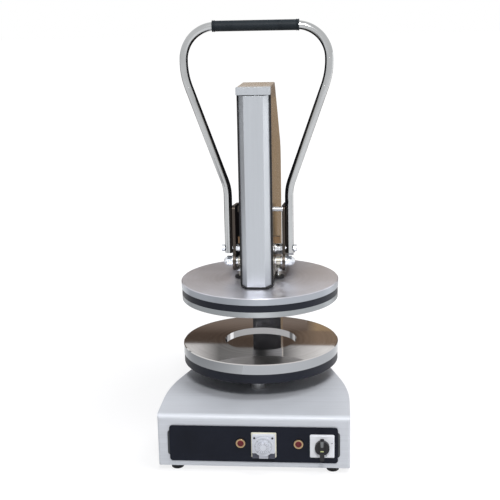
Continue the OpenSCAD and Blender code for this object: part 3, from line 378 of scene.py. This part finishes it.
mark_grey = coated("mark_grey", (0.19, 0.205, 0.24), 0.5, grain=1500.0, edge=0.0, spread=0.1)
mark_lime = coated("mark_lime", (0.62, 0.66, 0.30), 0.45, grain=1500.0, edge=0.0, spread=0.08)
flute_grey = coated("flute_grey", (0.36, 0.38, 0.43), 0.42, grain=1500.0, edge=0.0, spread=0.08)
shade_box_slate = coated("shade_box_slate", (0.055, 0.060, 0.085), 0.45, grain=1300.0, edge=0.4 * MM, spread=0.12)
bar_highlight_grey = coated("bar_highlight_grey", (0.17, 0.18, 0.19), 0.4, grain=1300.0, edge=0.0, spread=0.15)
weld_tint = bright_metal("weld_tint", (0.40, 0.33, 0.25), 0.34, grain=500.0, edge=0.3 * MM, spread=0.30,
                         smudge=160.0)


# Detail pieces, each built in mesh code and attached to the body that carries it
def piece(name, body, slot, bm, material=None, smooth=False):
    bmesh.ops.recalc_face_normals(bm, faces=bm.faces)
    mesh = bpy.data.meshes.new(name)
    bm.to_mesh(mesh)
    bm.free()
    for f in mesh.polygons:
        f.use_smooth = smooth
    obj = bpy.data.objects.new(name, mesh)
    bpy.context.scene.collection.objects.link(obj)
    mesh.materials.append(material or finish[slot])
    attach(obj, body)
    return obj


def skin(bm, rings, closed_path=False):
    """Join closed rings of points into a surface; open paths get end faces."""
    rows = [[bm.verts.new(v) for v in ring] for ring in rings]
    count = len(rows[0])
    pairs = list(zip(rows, rows[1:]))
    if closed_path:
        pairs.append((rows[-1], rows[0]))
    for a, b in pairs:
        for i in range(count):
            j = (i + 1) % count
            bm.faces.new((a[i], a[j], b[j], b[i]))
    if not closed_path:
        bm.faces.new(rows[0])
        bm.faces.new(rows[-1])


def raised_mark(bm, at, along, across, out, length, width, height):
    """A low mark with sloping sides on a flat face; two widths make it taper."""
    wide = width if isinstance(width, tuple) else (width, width)
    rings = []
    for lift, shrink in ((-0.2 * height, 0.0), (0.7 * height, 0.0), (height, 0.18)):
        ring = []
        for end, w in ((-1, wide[0]), (1, wide[1])):
            for side in (-1, 1) if end < 0 else (1, -1):
                ring.append(at + along * (end * (length / 2 - shrink * min(wide))) +
                            across * (side * w / 2 * (1 - shrink)) + out * lift)
        rings.append(ring)
    skin(bm, rings)


def block(bm, low, high, bevel, groove):
    """A box with rounded edges and a sunk front face."""
    geom = bmesh.ops.create_cube(bm, size=1.0)["verts"]
    for v in geom:
        v.co = Vector([low[i] + (v.co[i] + 0.5) * (high[i] - low[i]) for i in range(3)])
    edges = list({e for v in geom for e in v.link_edges})
    bmesh.ops.bevel(bm, geom=edges, offset=bevel, segments=3, profile=0.5, affect="EDGES")
    mid_x = (low[0] + high[0]) / 2
    fronts = (f for f in bm.faces if f.is_valid and f.normal.y < -0.99 and
              abs(f.calc_center_median().x - mid_x) < bevel)
    front = max(fronts, key=lambda f: f.calc_area())
    bmesh.ops.inset_region(bm, faces=[front], thickness=bevel * 1.5, depth=-groove)


def centre(node):
    a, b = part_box(node)
    return (a + b) / 2


def clock(degrees, top):
    """Outward and turning directions on a face to the front, clockwise from top."""
    a = math.radians(degrees)
    return X * math.sin(a) + top * math.cos(a), X * math.cos(a) - top * math.sin(a)


def around(angle, u, v):
    return u * math.cos(angle) + v * math.sin(angle)


WIRE_STEP = 36
MARK_H = 0.25 * MM

# Thermostat: scale and flutes on the dial, index on the face, and dark corner boxes under the face that are painted
# shade
SCALE_MARKS, SCALE_START, SCALE_STEP, SCALE_LONG = 31, -135, 9, 5
DISC_BACK = 5 * MM
dial_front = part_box("thermostat_dial")[0].y
dial = centre("thermostat_dial")
bm = bmesh.new()
for i in range(SCALE_MARKS):
    out_dir, turn_dir = clock(SCALE_START + SCALE_STEP * i, Z)
    reach, length, width = (15.4, 4.2, 0.9) if i % SCALE_LONG == 0 else (16.2, 2.6, 0.55)
    at = Vector((dial.x, dial_front + DISC_BACK, dial.z)) + out_dir * (reach * MM)
    raised_mark(bm, at, out_dir, turn_dir, -Y, length * MM, width * MM, MARK_H)
piece("dial_scale", "temperature_dial", "grey_plastic", bm, mark_grey)

# Flutes round the knob with marks on its face, and a gap at the top for the pointer
FLUTES, FLUTE_STEP, POINTER_GAP = 30, 12, 0.97
bm = bmesh.new()
for i in range(FLUTES):
    out_dir, turn_dir = clock(FLUTE_STEP * i + FLUTE_STEP // 2, Z)
    if out_dir.z >= POINTER_GAP:
        continue
    at = Vector((dial.x, dial_front + 2.7 * MM, dial.z)) + out_dir * (11.0 * MM)
    raised_mark(bm, at, Y, turn_dir, out_dir, 3.8 * MM, 1.1 * MM, 0.45 * MM)
    if i % 2:
        at = Vector((dial.x, dial_front, dial.z)) + out_dir * (8.0 * MM)
        raised_mark(bm, at, out_dir, turn_dir, -Y, 4.2 * MM, 1.3 * MM, 0.3 * MM)
piece("dial_flutes", "temperature_dial", "white_plastic", bm, flute_grey)

face_low, face_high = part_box("thermostat_face")
plate_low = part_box("thermostat_plate")[0]
bm = bmesh.new()
at = Vector((dial.x, face_low.y, face_high.z - 2.0 * MM))
raised_mark(bm, at, Z, X, -Y, 2.4 * MM, (0.5 * MM, 2.2 * MM), MARK_H)
piece("dial_index", "frame", "grey_plastic", bm, mark_grey)

# Painted shade: dark boxes at the face's lower corners, where the face casts its shade, with a white chin between
# them
BOX_W, CHIN_INSET = 12.5 * MM, 13.0 * MM
foot = plate_low.z + 1.0 * MM
bm = bmesh.new()
for side, outer in ((-1, face_low.x), (1, face_high.x)):
    left, right = sorted((outer, outer - side * BOX_W))
    block(bm, (left, face_low.y + 1.0 * MM, foot), (right, plate_low.y, face_low.z - 0.3 * MM),
          bevel=0.6 * MM, groove=0.8 * MM)
piece("thermostat_shade_boxes", "frame", "black_plastic", bm, shade_box_slate)
bm = bmesh.new()
block(bm, (face_low.x + CHIN_INSET, face_low.y + 0.4 * MM, foot),
      (face_high.x - CHIN_INSET, plate_low.y, face_low.z - 0.2 * MM), bevel=0.8 * MM, groove=0.3 * MM)
piece("thermostat_chin", "frame", "white_plastic", bm)

# Switch: a pointer inlay on the bar, a grey patch on the bar's upper half that is a painted highlight, and position
# ticks on the plate
knob_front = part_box("switch_knob")[0].y
knob = centre("switch_knob")
bm = bmesh.new()
at = Vector((knob.x, knob_front, knob.z - 0.3 * MM))
raised_mark(bm, at, X, Z, -Y, 6.2 * MM, 2.0 * MM, MARK_H)
piece("switch_index", "cam_switch", "cream_plastic", bm, mark_lime)
# Painted highlight: a grey raised patch on the upper half of the bar
bm = bmesh.new()
at = Vector((knob.x, knob_front, knob.z + 13.5 * MM))
raised_mark(bm, at, Z, X, -Y, 11.5 * MM, (4.6 * MM, 6.4 * MM), MARK_H)
piece("switch_bar_highlight", "cam_switch", "grey_plastic", bm, bar_highlight_grey)
switch_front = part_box("switch_plate")[0].y
bm = bmesh.new()
for position in (0, 90):
    out_dir, turn_dir = clock(position, -Z)
    at = Vector((knob.x, switch_front, knob.z)) + out_dir * (18.6 * MM) + turn_dir * (7.5 * MM)
    raised_mark(bm, at, out_dir, turn_dir, -Y, 3.6 * MM, 0.8 * MM, 0.2 * MM)
piece("switch_ticks", "frame", "grey_plastic", bm, mark_grey)

# Weld bead where the column stands on its foot plate, round the post's four sides
POST_HALF, POST_FRONT, POST_REAR = 32 * MM, AXIS_Y + 185 * MM, AXIS_Y + 270 * MM
FOOT_PLATE, BEAD_STEP = 8 * MM, 1.1 * MM
bead_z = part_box("base_cover")[1].z + FOOT_PLATE
corners = [Vector((x, y, 0)) for x, y in ((-POST_HALF, POST_FRONT), (POST_HALF, POST_FRONT),
                                          (POST_HALF, POST_REAR), (-POST_HALF, POST_REAR))]
path = []
for a, b in zip(corners, corners[1:] + corners[:1]):
    steps = max(2, int((b - a).length / BEAD_STEP))
    path += [(a.lerp(b, i / steps), (b - a).normalized().cross(Z)) for i in range(steps)]
bm = bmesh.new()
rings = []
for i, (at, out_dir) in enumerate(path):
    before = path[i - 1][1]
    side = (out_dir + before).normalized() if before != out_dir else out_dir
    r = (3.4 + 0.35 * math.sin(i * math.pi / 2) + 0.25 * math.sin(i * 0.37)) * MM
    ring = [at + side * (r * math.cos(math.radians(t))) + Z * (bead_z + r * math.sin(math.radians(t)))
            for t in (0, 22, 45, 68, 90)]
    ring.append(at - side * (0.3 * MM) + Z * (bead_z - 0.2 * MM))
    rings.append(ring)
skin(bm, rings, closed_path=True)
piece("column_weld", "frame", "column_polish", bm, weld_tint, smooth=True)

# Threads on the rod ends' studs, between each foot and its locknut
STUD_R, PITCH, THREAD, ROOT = 4.0 * MM, 1.25 * MM, 0.3 * MM, 0.2 * MM
NUT_ACROSS, THREAD_SIDES, THREAD_ENDS = 14 * MM, 20, 0.6 * MM
# A ridge's section, as radius and as share of the pitch
RIDGE = ((STUD_R - ROOT, -0.46), (STUD_R + THREAD, -0.06), (STUD_R + THREAD, 0.06), (STUD_R - ROOT, 0.46))
thread_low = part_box("rod_end_feet")[1].z + THREAD_ENDS
nuts_low, nuts_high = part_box("rod_end_locknuts")
thread_high = nuts_low.z - THREAD_ENDS
stud_x = nuts_high.x - NUT_ACROSS / math.sqrt(3)
bm = bmesh.new()
for side in (-1, 1):
    rings = []
    for i in range(int((thread_high - thread_low) / PITCH * THREAD_SIDES) + 1):
        d = around(math.radians(360 // THREAD_SIDES * i), X, Y)
        z = thread_low + PITCH * i / THREAD_SIDES
        rings.append([Vector((side * stud_x, AXIS_Y, z + PITCH * share)) + d * r for r, share in RIDGE])
    skin(bm, rings)
piece("stud_threads", "platen", "zinc", bm, smooth=True)

# Lift spring with closed end coils
WIRE, COIL_R, TURNS, TURN_STEPS = 2.0 * MM, 21.0 * MM, 14, 28
END_RISE = 2.1 * WIRE
spring_low, spring_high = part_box("lift_spring")
foot_z, head_z = spring_low.z + WIRE, spring_high.z - WIRE
coil_rise = (head_z - foot_z - 2 * END_RISE) / (TURNS - 2)
bm = bmesh.new()
rings = []
for i in range(TURNS * TURN_STEPS + 1):
    turn = i / TURN_STEPS
    rise = (END_RISE * min(turn, 1.0) + coil_rise * min(max(turn - 1, 0), TURNS - 2) +
            END_RISE * max(turn - TURNS + 1, 0))
    d = around(2 * math.pi * turn, X, Y)
    at = Vector((0, AXIS_Y, foot_z + rise)) + d * COIL_R
    rings.append([at + d * (WIRE * math.cos(math.radians(t))) + Z * (WIRE * math.sin(math.radians(t)))
                  for t in range(0, 360, WIRE_STEP)])
skin(bm, rings)
spring = piece("lift_coil", "frame", "spring_steel", bm, smooth=True)
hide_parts("lift_spring")
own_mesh(spring)

# Rounded end beads of the grip sleeve
BEAD_SIDES, BEAD_OUT, BEAD_HALF = 40, 0.9 * MM, 1.3 * MM
grip_low, grip_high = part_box("handle_grip")
mid = (grip_low + grip_high) / 2
grip_r = (grip_high.y - grip_low.y) / 2
bm = bmesh.new()
for end, side in ((grip_low.x, 1), (grip_high.x, -1)):
    for shift in (1.4 * MM, 4.6 * MM):
        rings = []
        for i in range(BEAD_SIDES):
            d = around(math.radians(360 // BEAD_SIDES * i), Y, Z)
            rings.append([Vector((end + side * shift, mid.y, mid.z)) +
                          d * (grip_r + BEAD_OUT * math.sin(math.radians(t))) +
                          X * (BEAD_HALF * math.cos(math.radians(t))) for t in range(0, 360, WIRE_STEP)])
        skin(bm, rings, closed_path=True)
piece("grip_beads", "lever", "grip_slate", bm, smooth=True)

# Camera at the photograph's viewpoint
CAM = Vector((0.15515, -1.97892 + AXIS_Y, 0.86189))
YAW, PITCH_DOWN, ROLL = math.radians(5.04), math.radians(13.39), math.radians(1.12)
FOCAL_PX, PHOTO_PX, SENSOR = 985.76, 500.0, 36.0
fwd = Vector((-math.sin(YAW) * math.cos(PITCH_DOWN), math.cos(YAW) * math.cos(PITCH_DOWN), -math.sin(PITCH_DOWN)))
right = Vector((math.cos(YAW), math.sin(YAW), 0.0))
up = right.cross(fwd)
right = right * math.cos(ROLL) - up * math.sin(ROLL)
up = right.cross(fwd)
cam_data = bpy.data.cameras.new("camera")
cam = bpy.data.objects.new("camera", cam_data)
bpy.context.scene.collection.objects.link(cam)
cam.matrix_world = Matrix.Translation(CAM) @ Matrix((right, up, -fwd)).transposed().to_4x4()
cam_data.sensor_width = SENSOR
cam_data.sensor_fit = "HORIZONTAL"
cam_data.lens = FOCAL_PX / PHOTO_PX * SENSOR
bpy.context.scene.camera = cam


# Floor, screens, world and lamps
def plane(name, corners, material):
    mesh = bpy.data.meshes.new(name)
    mesh.from_pydata(corners, [], [list(range(len(corners)))])
    obj = bpy.data.objects.new(name, mesh)
    bpy.context.scene.collection.objects.link(obj)
    mesh.materials.append(material)
    return obj


def level_plane(x0, x1, y0, y1, z):
    return [(x0, y0, z), (x1, y0, z), (x1, y1, z), (x0, y1, z)]


def upright(x0, x1, y, z0, z1):
    return [(x0, y, z0), (x1, y, z0), (x1, y, z1), (x0, y, z1)]


def side_on(x, y0, y1, z0, z1):
    return [(x, y0, z0), (x, y1, z0), (x, y1, z1), (x, y0, z1)]


def seen_rays(tree):
    """1 for camera, glossy and transmission rays, in a material's or a world's node tree."""
    rays = tree.nodes.new("ShaderNodeLightPath").outputs
    total = rays["Is Camera Ray"]
    for ray in ("Is Glossy Ray", "Is Transmission Ray"):
        n = tree.nodes.new("ShaderNodeMath")
        n.operation = "MAXIMUM"
        tree.links.new(total, n.inputs[0])
        tree.links.new(rays[ray], n.inputs[1])
        total = n.outputs[0]
    return total


def shader_mix(tree, factor, a, b):
    n = tree.nodes.new("ShaderNodeMixShader")
    tree.links.new(factor, n.inputs[0])
    tree.links.new(a.outputs[0], n.inputs[1])
    tree.links.new(b.outputs[0], n.inputs[2])
    return n.outputs[0]


# The floor looks white, and keeps a soft part of the shadow
FLOOR_HALF = 40
floor = Tree.new("floor_pale")
floor.set(Base_Color=(0.55, 0.55, 0.55, 1.0), Roughness=0.9, Specular_IOR_Level=0.0)
glow = floor.node("Emission")
floor.put(floor.remap(floor.radius(floor.coords(), 0.0), 0.35, 1.1, 0.80, 1.0), glow.inputs[1])
matte = floor.node("BsdfDiffuse")
matte.inputs[0].default_value = (0.24, 0.24, 0.25, 1.0)
both = floor.node("AddShader")
floor.put(glow.outputs[0], both.inputs[0])
floor.put(matte.outputs[0], both.inputs[1])
floor.put(shader_mix(floor.nt, seen_rays(floor.nt), floor.bsdf, both), floor.out.inputs[0])
plane("floor", level_plane(-FLOOR_HALF, FLOOR_HALF, -FLOOR_HALF, FLOOR_HALF, 0), floor.mat)


# Screens round the object that only its reflections see, as a studio has; their tones suit the photograph's viewpoint
def screen(name, corners, color=(1, 1, 1)):
    t = Tree.new(name)
    e = t.node("Emission")
    e.inputs[0].default_value = (*color, 1.0)
    t.put(e.outputs[0], t.out.inputs[0])
    obj = plane(name, corners, t.mat)
    obj.visible_camera = False
    obj.visible_diffuse = False
    obj.visible_shadow = False
    return t


def graded(name, corners, axis, stops):
    """A screen with colours that change along one axis of the room."""
    t = screen(name, corners)
    first, last = stops[0][0], stops[-1][0]
    ramp = t.node("ValToRGB")
    t.put(t.unit(t.split(t.coords())[axis], first, last), ramp.inputs[0])
    for i, (at, color) in enumerate(stops):
        stop = ramp.color_ramp.elements[i] if i < 2 else ramp.color_ramp.elements.new(1.0)
        stop.position = (at - first) / (last - first)
        stop.color = (*color, 1.0)
    t.put(ramp.outputs[0], t.first("EMISSION").inputs[0])


# The board behind, paler below, with its top edge mirrored across the lower plate
BACK = 1.3 + AXIS_Y
STRIP = BACK - 0.01
STRIP_SPLIT = 0.60
BOARD_TOP = 0.654
graded("screen_back", upright(-1.6, 1.6, BACK, 0, BOARD_TOP), 2,
       ((0.0, (0.16, 0.118, 0.092)), (0.52, (0.17, 0.128, 0.102)), (0.568, (0.26, 0.21, 0.18)),
        (0.585, (0.22, 0.17, 0.14)), (0.617, (0.095, 0.068, 0.053)), (BOARD_TOP, (0.09, 0.065, 0.05))))
graded("screen_strip", upright(0.06, 0.30, STRIP, 0.08, STRIP_SPLIT), 0,
       ((0.06, (0.20, 0.155, 0.125)), (0.095, (0.43, 0.308, 0.187)), (0.30, (0.44, 0.315, 0.19))))
graded("screen_strip_top", upright(0.0, 0.30, STRIP, STRIP_SPLIT, BOARD_TOP), 0,
       ((0.0, (0.093, 0.067, 0.052)), (0.10, (0.28, 0.203, 0.146)), (0.30, (0.29, 0.21, 0.15))))
# Cards at both sides, and one on the floor at the left that fades to its outer end
for name, x, level in (("card_right", 1.6, 2.3), ("card_left", -1.6, 0.35)):
    screen(name, side_on(x, 0.50, 1.15, 0.05, 0.95), (level, level, level))
graded("card_low", level_plane(-1.2, -0.22, -1.6, 0.45, 0.002), 0,
       ((-1.2, (0.5, 0.5, 0.51)), (-0.7, (0.52, 0.52, 0.53)), (-0.22, (1.06, 1.06, 1.06))))
# A glowing veil just before the post, seen only in reflections: a painted sheen, dark in the middle and lighter to
# the sides, that softens the post's image in the lower plate
VEIL_HALF = 0.034
veil = ((-VEIL_HALF, 0.22), (-0.026, 0.06), (-0.016, 0.03), (-0.006, 0.05), (0.006, 0.17), (0.016, 0.26),
        (VEIL_HALF, 0.36))
graded("post_sheen_veil", upright(-VEIL_HALF, VEIL_HALF, AXIS_Y + 0.184, 0.2715, 0.304), 0,
       [(x, (v, v, v * 1.04)) for x, v in veil])
# Above the board: a warm band, and a band of greys that the front of the lower plate mirrors
screen("screen_high", upright(-0.5, 0.5, BACK, 0.80, 0.95), (0.46, 0.33, 0.21))
greys = ((-0.45, 0.95), (-0.33, 0.75), (-0.25, 0.20), (-0.12, 0.27), (-0.02, 0.20), (0.04, 0.66), (0.12, 0.98),
         (0.30, 1.0))
graded("screen_mid", upright(-0.45, 0.30, BACK, BOARD_TOP, 0.78), 0,
       [(x, (v, v * 0.985, v * 0.975)) for x, v in greys])


def flag(name, x):
    """A dark card that the handle's inner sides reflect; it is clear from the column's side."""
    t = screen(name, side_on(x, AXIS_Y - 0.04, AXIS_Y + 0.30, 0.35, 0.86), (0.012, 0.012, 0.014))
    dark, clear = t.first("EMISSION"), t.node("BsdfTransparent")
    front, back = (dark, clear) if x > 0 else (clear, dark)
    backfacing = t.node("NewGeometry").outputs["Backfacing"]
    t.put(shader_mix(t.nt, backfacing, front, back), t.out.inputs[0])


FLAG_X = 0.044
flag("flag_right", FLAG_X)
flag("flag_left", -FLAG_X)

# The world is white where it is seen, and lights the object softly
world = bpy.data.worlds.new("studio")
bpy.context.scene.world = world
world.use_nodes = True
wt = world.node_tree
wt.nodes.clear()
w_out = wt.nodes.new("ShaderNodeOutputWorld")
seen = wt.nodes.new("ShaderNodeBackground")
seen.inputs[0].default_value = (1, 1, 1, 1)
soft = wt.nodes.new("ShaderNodeBackground")
soft.inputs[0].default_value = (0.72, 0.74, 0.78, 1)
soft.inputs[1].default_value = 0.35
wt.links.new(shader_mix(wt, seen_rays(wt), soft, seen), w_out.inputs[0])


def lamp(name, at, target, size, watts, color=(1, 1, 1)):
    data = bpy.data.lights.new(name, "AREA")
    data.shape = "RECTANGLE"
    data.size, data.size_y = size
    data.energy = watts
    data.color = color
    obj = bpy.data.objects.new(name, data)
    bpy.context.scene.collection.objects.link(obj)
    obj.location = at
    obj.rotation_euler = (Vector(target) - Vector(at)).to_track_quat("-Z", "Y").to_euler()
    return obj


lamp("key_front", (0.30, -2.75, 2.75), (0, 0, 0.25), (0.6, 0.6), 75, (1.0, 0.99, 0.975))
lamp("side_right", (2.2, -0.35, 0.60), (0, 0, 0.45), (2.0, 1.9), 15).visible_glossy = False
lamp("top", (0.9, -0.75, 2.5), (0, -0.1, 0.2), (1.0, 1.0), 29).visible_glossy = False

bpy.context.scene.view_settings.view_transform = "Standard"
